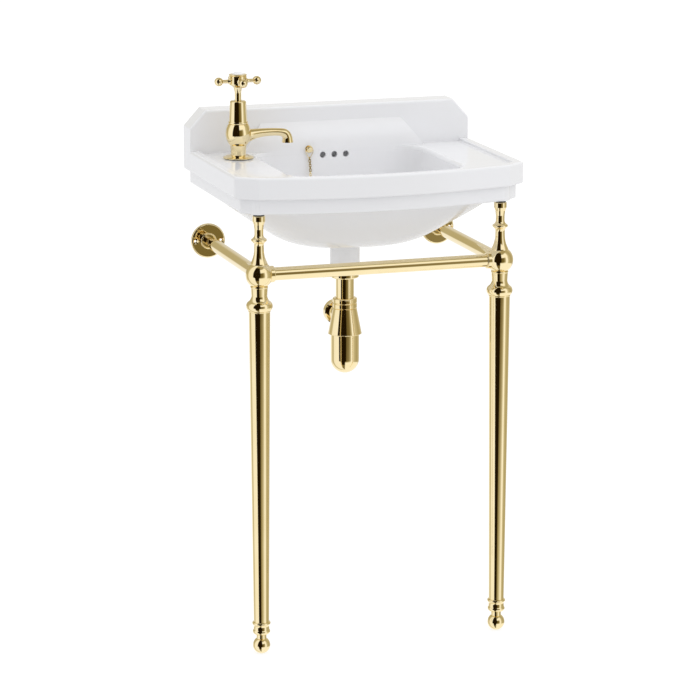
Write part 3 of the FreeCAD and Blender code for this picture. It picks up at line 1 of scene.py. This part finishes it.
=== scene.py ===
import math
import bpy
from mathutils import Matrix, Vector

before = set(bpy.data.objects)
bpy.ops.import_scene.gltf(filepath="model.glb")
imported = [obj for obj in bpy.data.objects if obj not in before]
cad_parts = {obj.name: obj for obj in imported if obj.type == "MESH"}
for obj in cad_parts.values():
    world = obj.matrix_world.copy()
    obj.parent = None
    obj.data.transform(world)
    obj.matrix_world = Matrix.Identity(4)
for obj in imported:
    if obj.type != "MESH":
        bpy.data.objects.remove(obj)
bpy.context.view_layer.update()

# Camera: a long lens a little above the rim, from the front and the object's left
CAMERA_TURN = 17.903
CAMERA_TILT = 12.785
CAMERA_DISTANCE = 5.3931
CAMERA_HEIGHT = 1.7023
CAMERA_ASIDE = 0.00083
CAMERA_AIM = (0.0, 0.04)
CAMERA_LENS = 162.81
CAMERA_SENSOR = 36.0
CAMERA_NEAR, CAMERA_FAR = 0.05, 200.0

# Nodes by finish; what isn't named here is brass and stands upright
GLAZED = ("basin", "tap_index")
RUBBER = (
    "tap_seal", "plug", "waste_washer", "trap_cup_washer", "trap_outlet_seal", "post_pad_left", "post_pad_right",
)
STEEL = ("stay_nut", "tap_back_nut")
LAID_ACROSS = ("rail_front",)
LAID_INWARD = (
    "rail_left", "rail_right", "wall_flange_left", "wall_flange_right", "chain_stay", "trap_outlet_nut",
)

# Colours and roughness
WHITE = (1.0, 1.0, 1.0)
BRASS_LIGHT, BRASS_DEEP = (0.94, 0.80, 0.50), (0.92, 0.77, 0.45)
GLAZE_DEEP, GLAZE_BODY, GLAZE_LIGHT = (0.856, 0.859, 0.88), (0.865, 0.866, 0.885), (0.874, 0.877, 0.895)
GLAZE_SMOOTH, GLAZE_DULL = 0.09, 0.13
CLAY_DARK, CLAY_LIGHT = (0.70, 0.67, 0.62), (0.80, 0.78, 0.74)
CLAY_DULL = 0.6              # added to the glaze's roughness
CLAY_BEHIND = 0.1897         # metres along Y: the ware behind this lies on the wall and is left bare
RUBBER_DARK, RUBBER_BODY, RUBBER_LIGHT = (0.014, 0.014, 0.015), (0.02, 0.02, 0.021), (0.035, 0.035, 0.036)
RUBBER_SMOOTH, RUBBER_DULL = 0.45, 0.7
STEEL_LIGHT, STEEL_DULL = (0.56, 0.57, 0.58), (0.47, 0.47, 0.45)

# Floor
FLOOR_RADIUS = 40.0
FLOOR_DARK, FLOOR_LIGHT = (0.29, 0.29, 0.29), (0.31, 0.31, 0.31)
FLOOR_GLOW = 0.5
FLOOR_GLOW_SHOWN = 0.78      # to the camera


def make_camera():
    turn, tilt = math.radians(CAMERA_TURN), math.radians(CAMERA_TILT)
    ahead = Vector((math.sin(turn), math.cos(turn), 0.0))
    aside = Vector((math.cos(turn), -math.sin(turn), 0.0))
    bpy.ops.object.camera_add(rotation=(math.pi / 2 - tilt, 0.0, -turn))
    camera = bpy.context.object
    camera.name = "photo_camera"
    camera.location = Vector((*CAMERA_AIM, CAMERA_HEIGHT)) - CAMERA_DISTANCE * ahead + CAMERA_ASIDE * aside
    camera.data.lens = CAMERA_LENS
    camera.data.sensor_width = CAMERA_SENSOR
    camera.data.clip_start = CAMERA_NEAR
    camera.data.clip_end = CAMERA_FAR
    bpy.context.scene.camera = camera


# Shader helpers


class Nodes:
    """Adds nodes to one tree and joins them."""

    def __init__(self, tree):
        self.tree = tree

    def add(self, kind, **settings):
        node = self.tree.nodes.new(kind)
        for name, value in settings.items():
            setattr(node, name, value)
        return node

    def join(self, source, target):
        self.tree.links.new(source, target)

    def feed(self, socket, value):
        if hasattr(value, "is_output"):
            self.join(value, socket)
        else:
            socket.default_value = value

    def maths(self, operation, *values):
        node = self.add("ShaderNodeMath", operation=operation)
        for socket, value in zip(node.inputs, values):
            self.feed(socket, value)
        return node.outputs[0]

    def times(self, first, second):
        return self.maths("MULTIPLY", first, second)

    def less(self, first, second):
        return self.maths("SUBTRACT", first, second)

    def ramp(self, value, stops):
        """Colours over a value from 0 to 1, each stop a place and a colour or a grey level."""
        node = self.add("ShaderNodeValToRGB")
        points = node.color_ramp.elements
        while len(points) > 1:
            points.remove(points[-1])
        for i, (place, shade) in enumerate(stops):
            point = points[0] if i == 0 else points.new(place)
            point.position = place
            point.color = (*shade, 1.0) if hasattr(shade, "__len__") else (shade, shade, shade, 1.0)
        self.feed(node.inputs[0], value)
        return node.outputs[0]

    def map_range(self, value, low, high, new_low=0.0, new_high=1.0):
        node = self.add("ShaderNodeMapRange")
        for socket, item in zip(node.inputs, (value, low, high, new_low, new_high)):
            self.feed(socket, item)
        return node.outputs[0]

    def mix_colour(self, share, first, second):
        node = self.add("ShaderNodeMix", data_type="RGBA")
        self.feed(node.inputs[0], share)
        for socket, value in ((node.inputs[6], first), (node.inputs[7], second)):
            self.feed(socket, value if hasattr(value, "is_output") else (*value, 1.0))
        return node.outputs[2]

    def noise(self, vector, scale, detail=2.0):
        node = self.add("ShaderNodeTexNoise")
        self.join(vector, node.inputs["Vector"])
        node.inputs["Scale"].default_value = scale
        node.inputs["Detail"].default_value = detail
        return node.outputs["Fac"]

    def place(self):
        return self.add("ShaderNodeTexCoord").outputs["Object"]


# Studio


def warm(level):
    """Grey of this level, warmer the darker it is."""
    return level, level**1.15, level**1.75


LIT = (1.06, 1.06, 1.05)             # the window, and the floor and the back of the room low down
OVERHEAD = warm(0.4)
PANEL = warm(0.014)
FAR_WALL = (0.74, 0.72, 0.67)

# The room that metal sees. Degrees round it are 0 towards the camera and more to the picture's right.
BEYOND = [
    (68, warm(1.08)), (78, warm(0.64)), (92, warm(0.55)), (108, warm(0.45)), (128, warm(0.5)),
    (150, (0.66, 0.62, 0.52)), (180, FAR_WALL),
]
RIGHT_LOW = [(0, warm(0.22)), (16, warm(0.4)), (30, warm(0.6)), (44, warm(0.85)), (56, warm(1.08))] + BEYOND
RIGHT_HIGH = [(10, warm(0.13)), (34, warm(0.2)), (48, warm(0.5)), (55, warm(1.06))] + BEYOND
LEFT_HIGH = [
    (-180, FAR_WALL), (-170, (0.68, 0.65, 0.57)), (-160, warm(0.52)), (-126, warm(0.5)), (-104, warm(0.6)),
    (-96, warm(1.0)), (-50, warm(1.04)),
]
LEFT_LOW = [
    (-180, WHITE), (-134, (0.98, 0.98, 0.98)), (-123, warm(0.62)), (-104, warm(0.58)),
    (-96, warm(1.0)), (-50, warm(1.04)),
]
WINDOW_AROUND = [(6, 0.0), (14, 1.0), (74, 1.0), (84, 0.0)]
WINDOW_HEIGHT = [(20, 0.0), (27, 1.0), (48, 1.0), (55, 0.0)]
BEHIND = [(-128, 1.0), (-110, 0.0), (110, 0.0), (128, 1.0)]
PANEL_HEIGHT = [(-46, 0.0), (-38, 1.0), (64, 1.0), (74, 0.0)]

# Degrees between which one part of that room gives way to the next
LOW_TO_FULL = (-17.5, -12.0)         # in height, low down to full height
PANEL_LEFT = (-34.0, -50.0)          # the panel's left edge, low down and at full height
PANEL_RIGHT = (2.0, 13.0)
LEFT_EDGE_BLUR = (-2.0, 2.0)
RIGHT_EDGE_BLUR = (-3.0, 3.0)
LEFT_LOW_TO_HIGH = (-8.0, -2.0)
FLOOR_TOP = (-23.0, -18.5)
BEHIND_TOP = (-30.0, -24.0)
OVERHEAD_FOOT = (50.0, 58.0)
OVERHEAD_LEFT = (-60.0, -45.0)

# The room that lights everything else
SOFT_AROUND = [
    (-180, 1.06), (-110, 1.02), (-70, 1.0), (-48, 0.84), (-20, 0.76), (15, 0.92), (45, 1.14), (75, 1.34),
    (110, 1.22), (180, 1.06),
]
SOFT_HEIGHT = [(-90, 0.9), (-30, 0.94), (0, 0.98), (40, 1.04), (90, 1.1)]


def by_degrees(n, angle, stops, reach=180.0):
    """Ramp over an angle in degrees, from -reach to reach, its stops given as (degrees, level or colour)."""
    places = [((at + reach) / (reach + reach), shade) for at, shade in stops]
    return n.ramp(n.map_range(angle, -reach, reach), places)


def camera_angles(n):
    """Degrees round the room, 0 towards the camera and more to the picture's right, and degrees above the horizon."""
    split = n.add("ShaderNodeSeparateXYZ")
    n.join(n.add("ShaderNodeTexCoord").outputs["Generated"], split.inputs[0])
    x, y, z = split.outputs
    turn = math.radians(CAMERA_TURN)
    ahead = n.maths("ADD", n.times(x, -math.sin(turn)), n.times(y, -math.cos(turn)))
    aside = n.maths("ADD", n.times(x, math.cos(turn)), n.times(y, -math.sin(turn)))
    degrees = 180.0 / math.pi
    return n.times(n.maths("ARCTAN2", aside, ahead), degrees), n.times(n.maths("ARCSINE", z), degrees)


def mirrored_room(n, around, above):
    """White walls on the left, a tall dark panel just left of the camera, a window and darker walls on the right."""
    full = n.map_range(above, *LOW_TO_FULL)
    left_edge = n.map_range(full, 0.0, 1.0, *PANEL_LEFT)
    right_edge = n.map_range(full, 0.0, 1.0, *PANEL_RIGHT)
    left_of = n.less(1.0, n.map_range(n.less(around, left_edge), *LEFT_EDGE_BLUR))
    right_of = n.map_range(n.less(around, right_edge), *RIGHT_EDGE_BLUR)

    right = n.mix_colour(full, by_degrees(n, around, RIGHT_LOW), by_degrees(n, around, RIGHT_HIGH))
    left = n.mix_colour(n.map_range(above, *LEFT_LOW_TO_HIGH), by_degrees(n, around, LEFT_LOW),
                        by_degrees(n, around, LEFT_HIGH))
    walls = n.mix_colour(left_of, right, left)

    floor = n.times(right_of, n.map_range(above, *FLOOR_TOP, 1.0, 0.0))
    window = n.times(by_degrees(n, around, WINDOW_AROUND), by_degrees(n, above, WINDOW_HEIGHT, reach=90.0))
    behind = n.times(by_degrees(n, around, BEHIND), n.map_range(above, *BEHIND_TOP, 1.0, 0.0))
    lit = n.maths("MAXIMUM", n.maths("MAXIMUM", floor, window), behind)
    overhead = n.times(n.map_range(above, *OVERHEAD_FOOT), n.map_range(around, *OVERHEAD_LEFT))
    room = n.mix_colour(lit, n.mix_colour(overhead, walls, OVERHEAD), LIT)

    panel = n.times(n.times(n.less(1.0, left_of), n.less(1.0, right_of)),
                    by_degrees(n, above, PANEL_HEIGHT, reach=90.0))
    return n.mix_colour(panel, room, PANEL)


def studio_world():
    """Metal sees a white room with a dark panel, everything else gets soft light, and the camera sees white."""
    world = bpy.data.worlds.new("studio")
    world.use_nodes = True
    bpy.context.scene.world = world
    n = Nodes(world.node_tree)
    world.node_tree.nodes.clear()
    around, above = camera_angles(n)
    soft = n.times(by_degrees(n, around, SOFT_AROUND), by_degrees(n, above, SOFT_HEIGHT, reach=90.0))
    path = n.add("ShaderNodeLightPath")
    seen = n.mix_colour(path.outputs["Is Glossy Ray"], soft, mirrored_room(n, around, above))
    shown = n.mix_colour(path.outputs["Is Camera Ray"], seen, WHITE)
    background = n.add("ShaderNodeBackground")
    n.join(shown, background.inputs["Color"])
    n.join(background.outputs[0], n.add("ShaderNodeOutputWorld").inputs["Surface"])


def studio_floor():
    bpy.ops.mesh.primitive_circle_add(vertices=96, radius=FLOOR_RADIUS, fill_type="NGON")
    floor = bpy.context.object
    floor.name = "studio_floor"
    floor.visible_glossy = False
    paint = bpy.data.materials.new("studio_paper")
    paint.use_nodes = True
    shader = paint.node_tree.nodes["Principled BSDF"]
    n = Nodes(paint.node_tree)
    grain = n.noise(n.place(), scale=260.0, detail=3.0)
    n.join(n.mix_colour(grain, FLOOR_DARK, FLOOR_LIGHT), shader.inputs["Base Color"])
    shader.inputs["Roughness"].default_value = 0.9
    shader.inputs["Specular IOR Level"].default_value = 0.0
    shader.inputs["Emission Color"].default_value = (*WHITE, 1.0)
    to_camera = n.add("ShaderNodeLightPath").outputs["Is Camera Ray"]
    n.join(n.map_range(to_camera, 0.0, 1.0, FLOOR_GLOW, FLOOR_GLOW_SHOWN), shader.inputs["Emission Strength"])
    floor.data.materials.append(paint)


# Finishes


def new_group(name, inputs, outputs):
    """Empty shader group: inputs as (name, value), outputs as names."""
    tree = bpy.data.node_groups.new(name, "ShaderNodeTree")
    for label, value in inputs:
        kind = "NodeSocketVector" if hasattr(value, "__len__") else "NodeSocketFloat"
        tree.interface.new_socket(label, in_out="INPUT", socket_type=kind).default_value = value
    for label in outputs:
        tree.interface.new_socket(label, in_out="OUTPUT", socket_type="NodeSocketFloat")
    n = Nodes(tree)
    return n, n.add("NodeGroupInput").outputs, n.add("NodeGroupOutput").inputs


def polish_group():
    """What polishing leaves: faint lines along one way, a slow waviness, and a haze between smooth and hazy."""
    n, given, out = new_group("polish", [
        ("Stretch", (1.0, 1.0, 1.0)), ("Line Scale", 900.0), ("Haze Scale", 14.0),
        ("Smooth", 0.035), ("Hazy", 0.075), ("Lines", 0.3),
    ], ["Roughness", "Height", "Mask"])
    place = n.place()
    stretched = n.add("ShaderNodeVectorMath", operation="MULTIPLY")
    n.join(place, stretched.inputs[0])
    n.join(given["Stretch"], stretched.inputs[1])
    lines = n.add("ShaderNodeTexNoise")
    n.join(stretched.outputs[0], lines.inputs["Vector"])
    n.join(given["Line Scale"], lines.inputs["Scale"])
    haze = n.add("ShaderNodeTexNoise")
    n.join(place, haze.inputs["Vector"])
    n.join(given["Haze Scale"], haze.inputs["Scale"])
    haze.inputs["Detail"].default_value = 5.0
    spread = n.map_range(haze.outputs["Fac"], 0.35, 0.7)
    rough = n.maths("ADD", given["Smooth"], n.times(spread, n.less(given["Hazy"], given["Smooth"])))
    wave = n.noise(place, scale=30.0, detail=1.0)
    height = n.maths("ADD", n.times(lines.outputs["Fac"], given["Lines"]), wave)
    for label, value in (("Roughness", rough), ("Height", height), ("Mask", spread)):
        n.join(value, out[label])


def polished(n, **settings):
    """Outputs of the polish group in this tree, with these inputs set."""
    worn = n.add("ShaderNodeGroup", node_tree=bpy.data.node_groups["polish"])
    for label, value in settings.items():
        worn.inputs[label.replace("_", " ")].default_value = value
    return worn.outputs


def finish(name, colour, metal, rough, ior=1.45):
    """New material with its Principled shader's plain values set."""
    material = bpy.data.materials.new(name)
    material.use_nodes = True
    shader = material.node_tree.nodes["Principled BSDF"]
    shader.inputs["Base Color"].default_value = (*colour, 1.0)
    shader.inputs["Metallic"].default_value = metal
    shader.inputs["Roughness"].default_value = rough
    shader.inputs["IOR"].default_value = ior
    return material, Nodes(material.node_tree), shader


def bump(n, shader, height, strength, distance):
    node = n.add("ShaderNodeBump")
    node.inputs["Strength"].default_value = strength
    node.inputs["Distance"].default_value = distance
    n.join(height, node.inputs["Height"])
    n.join(node.outputs[0], shader.inputs["Normal"])


def brass(name, stretch):
    """Polished brass, its lines running the way that the stretch is large."""
    material, n, shader = finish(name, BRASS_LIGHT, metal=1.0, rough=0.05)
    worn = polished(n, Stretch=stretch)
    n.join(n.mix_colour(worn["Mask"], BRASS_LIGHT, BRASS_DEEP), shader.inputs["Base Color"])
    n.join(worn["Roughness"], shader.inputs["Roughness"])
    bump(n, shader, worn["Height"], strength=0.03, distance=0.0004)
    return material


def glaze(name):
    """White glaze on fired clay: a slow orange-peel surface, a cool body colour, bare clay where it meets the wall."""
    material, n, shader = finish(name, GLAZE_BODY, metal=0.0, rough=0.1, ior=1.5)
    place = n.place()
    tone = n.noise(place, scale=9.0, detail=3.0)
    speck = n.noise(place, scale=700.0)
    split = n.add("ShaderNodeSeparateXYZ")
    n.join(place, split.inputs[0])
    bare = n.maths("GREATER_THAN", split.outputs[1], CLAY_BEHIND)
    colour = n.mix_colour(bare, n.mix_colour(tone, GLAZE_DEEP, GLAZE_LIGHT), n.mix_colour(speck, CLAY_DARK, CLAY_LIGHT))
    n.join(colour, shader.inputs["Base Color"])
    rough = n.maths("ADD", n.map_range(tone, 0.3, 0.7, GLAZE_SMOOTH, GLAZE_DULL), n.times(bare, CLAY_DULL))
    n.join(rough, shader.inputs["Roughness"])
    shader.inputs["Specular IOR Level"].default_value = 0.28
    peel = n.maths("ADD", n.noise(place, scale=42.0), n.times(n.noise(place, scale=260.0, detail=1.0), 0.06))
    bump(n, shader, peel, strength=0.08, distance=0.0015)
    return material


def rubber(name):
    material, n, shader = finish(name, RUBBER_BODY, metal=0.0, rough=0.55)
    grain = n.noise(n.place(), scale=1400.0, detail=3.0)
    n.join(n.mix_colour(grain, RUBBER_DARK, RUBBER_LIGHT), shader.inputs["Base Color"])
    n.join(n.map_range(grain, 0.3, 0.7, RUBBER_SMOOTH, RUBBER_DULL), shader.inputs["Roughness"])
    bump(n, shader, grain, strength=0.3, distance=0.0002)
    return material


def plated_steel(name):
    material, n, shader = finish(name, STEEL_LIGHT, metal=1.0, rough=0.3)
    worn = polished(n, Stretch=(1.0, 1.0, 6.0), Haze_Scale=60.0, Smooth=0.22, Hazy=0.42, Lines=1.0)
    n.join(n.mix_colour(worn["Mask"], STEEL_LIGHT, STEEL_DULL), shader.inputs["Base Color"])
    n.join(worn["Roughness"], shader.inputs["Roughness"])
    bump(n, shader, worn["Height"], strength=0.15, distance=0.0004)
    return material


def dress(name, material):
    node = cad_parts[name]
    node.data.materials.clear()
    node.data.materials.append(material)


def dress_nodes():
    polish_group()
    upright = brass("polished_brass_upright", stretch=(0.05, 0.05, 1.0))
    across = brass("polished_brass_across", stretch=(1.0, 0.05, 0.05))
    inward = brass("polished_brass_inward", stretch=(0.05, 1.0, 0.05))
    ware, seal, steel = glaze("white_glaze"), rubber("black_rubber"), plated_steel("plated_steel")
    finishes = {name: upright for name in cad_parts}
    finishes.update(dict.fromkeys(GLAZED, ware))
    finishes.update(dict.fromkeys(RUBBER, seal))
    finishes.update(dict.fromkeys(STEEL, steel))
    finishes.update(dict.fromkeys(LAID_ACROSS, across))
    finishes.update(dict.fromkeys(LAID_INWARD, inward))
    for name, material in finishes.items():
        dress(name, material)


bpy.ops.object.select_all(action="DESELECT")
make_camera()
studio_world()
studio_floor()
dress_nodes()
bpy.context.scene.view_settings.view_transform = "Standard"
bpy.context.scene.view_settings.look = "None"
